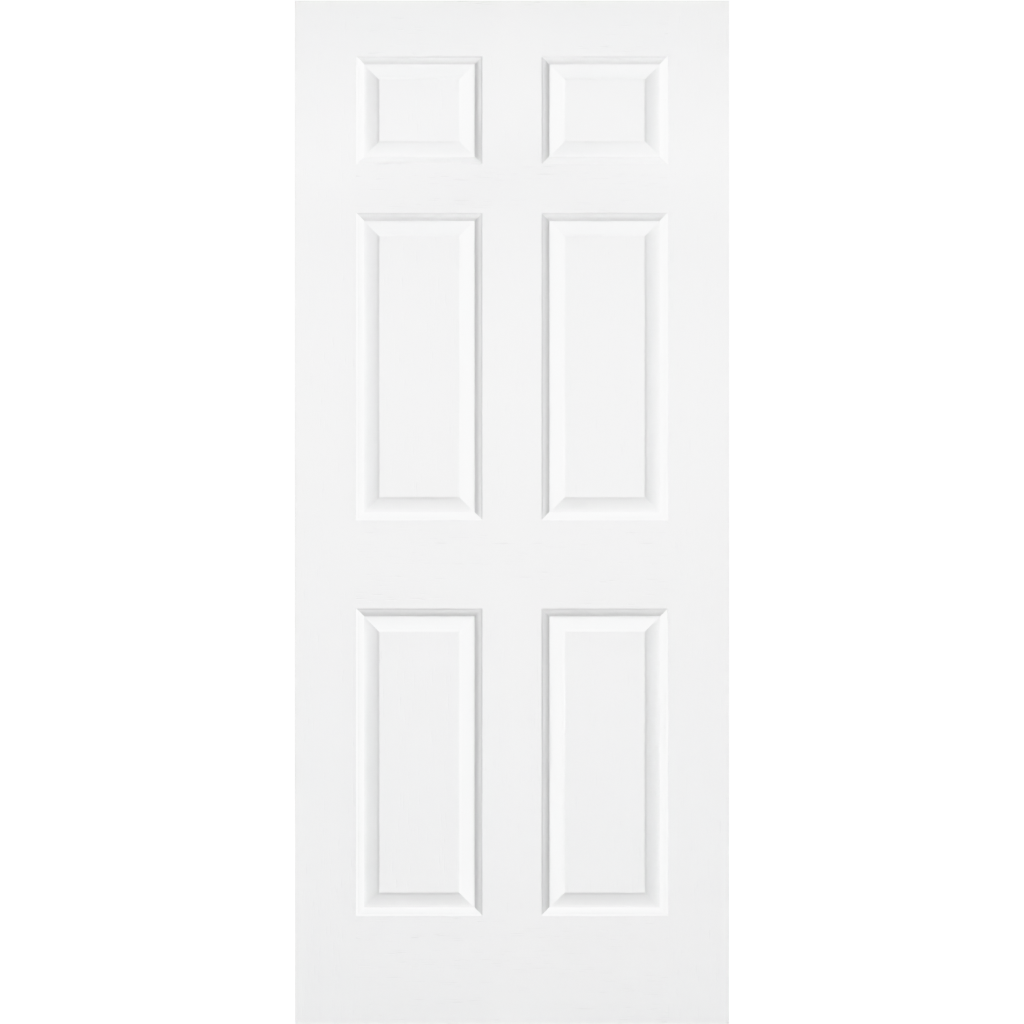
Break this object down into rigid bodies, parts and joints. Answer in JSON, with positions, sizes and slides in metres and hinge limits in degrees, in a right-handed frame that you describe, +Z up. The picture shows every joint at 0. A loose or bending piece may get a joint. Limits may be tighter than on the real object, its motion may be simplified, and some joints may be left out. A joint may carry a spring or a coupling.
{
  "type": "panel door",
  "caption": "Hollow-core interior door leaf with raised panels pressed into both skins, over a softwood frame, lock blocks and paper honeycomb.",
  "frame": {"origin": "middle of the leaf's bottom edge, halfway through its thickness", "axes": "+Z up the leaf, +X across its width, +Y through its thickness from the front face to the back face"},
  "size_m": [0.8636, 0.0348, 2.032],
  "materials": {
    "primed_skin": "white primer over pressed fibreboard, embossed with a wood grain",
    "softwood": "planed bare softwood",
    "kraft_paper": "plain brown kraft paper"
  },
  "bodies": {
    "root": {"front_skin": "primed_skin", "back_skin": "primed_skin", "left_stile": "softwood", "right_stile": "softwood", "top_rail": "softwood", "bottom_rail": "softwood", "left_lock_block": "softwood", "right_lock_block": "softwood", "panel_core_top_left": "kraft_paper", "panel_core_top_right": "kraft_paper", "panel_core_middle_left": "kraft_paper", "panel_core_middle_right": "kraft_paper", "panel_core_lower_left": "kraft_paper", "panel_core_lower_right": "kraft_paper", "mullion_core_top": "kraft_paper", "mullion_core_middle": "kraft_paper", "mullion_core_lower": "kraft_paper", "rail_core_top": "kraft_paper", "rail_core_frieze": "kraft_paper", "rail_core_lock": "kraft_paper", "rail_core_bottom": "kraft_paper", "stile_core_left_upper": "kraft_paper", "stile_core_left_lower": "kraft_paper", "stile_core_right_upper": "kraft_paper", "stile_core_right_lower": "kraft_paper"}
  },
  "joints": []
}
